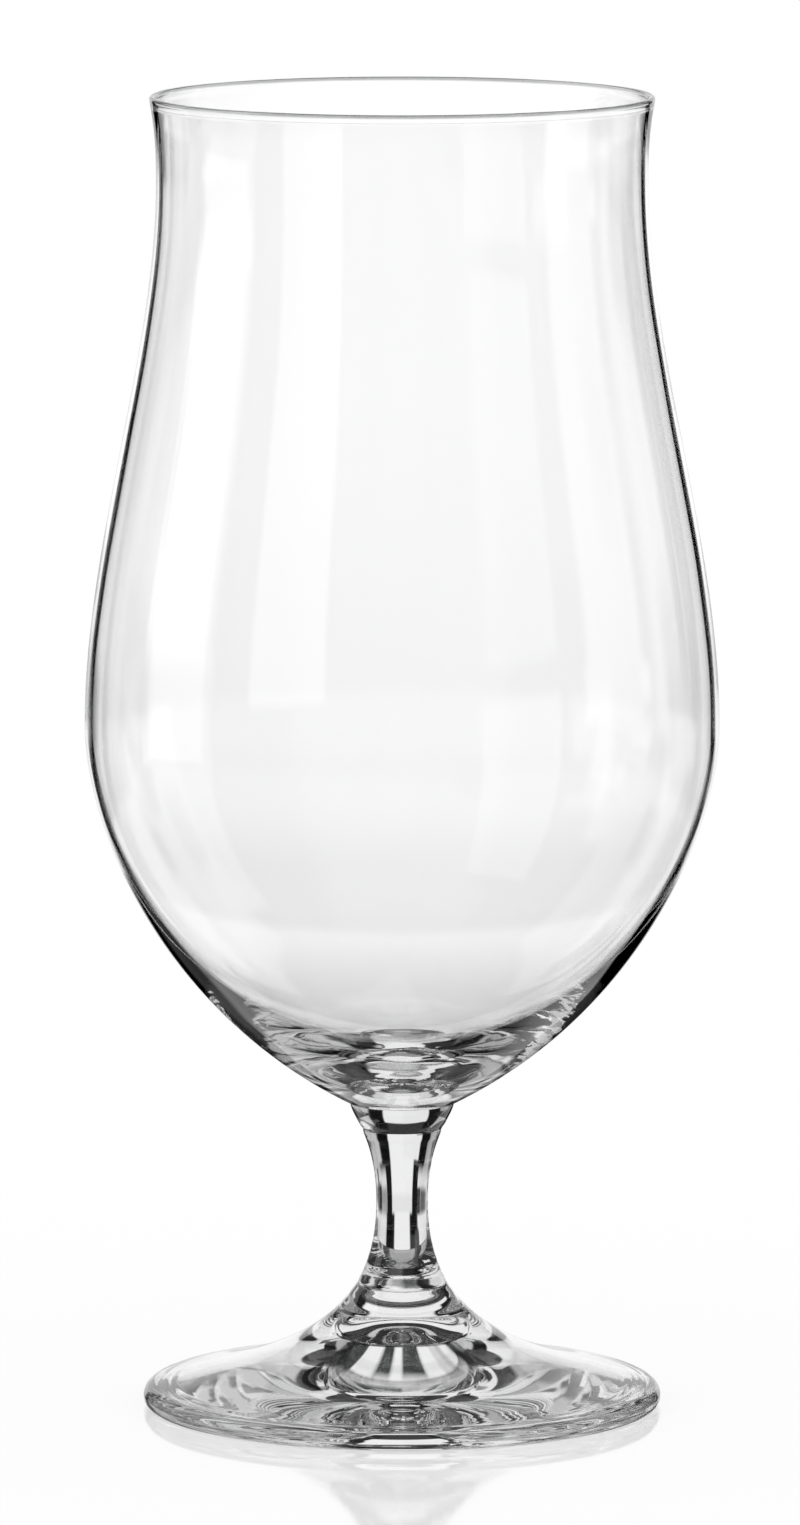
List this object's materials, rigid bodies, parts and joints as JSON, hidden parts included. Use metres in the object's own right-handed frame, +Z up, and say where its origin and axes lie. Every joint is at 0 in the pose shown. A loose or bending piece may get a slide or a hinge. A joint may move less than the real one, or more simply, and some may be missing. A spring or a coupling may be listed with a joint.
{
  "type": "tulip beer glass",
  "caption": "Clear tulip-shaped stemmed beer glass: tall bowl with a flared lip, short waisted stem and round foot with a hollow underside.",
  "frame": {"origin": "centre of the ring the foot rests on, on the table plane", "axes": "+Z up along the glass's axis of revolution, towards the lip"},
  "size_m": [0.0874, 0.0874, 0.182],
  "materials": {
    "foot_glass": "clear pressed glass, fire polished",
    "stem_glass": "clear drawn glass, polished",
    "bowl_glass": "clear blown glass, polished"
  },
  "bodies": {
    "root": {"foot": "foot_glass", "stem": "stem_glass", "bowl": "bowl_glass"}
  },
  "joints": []
}
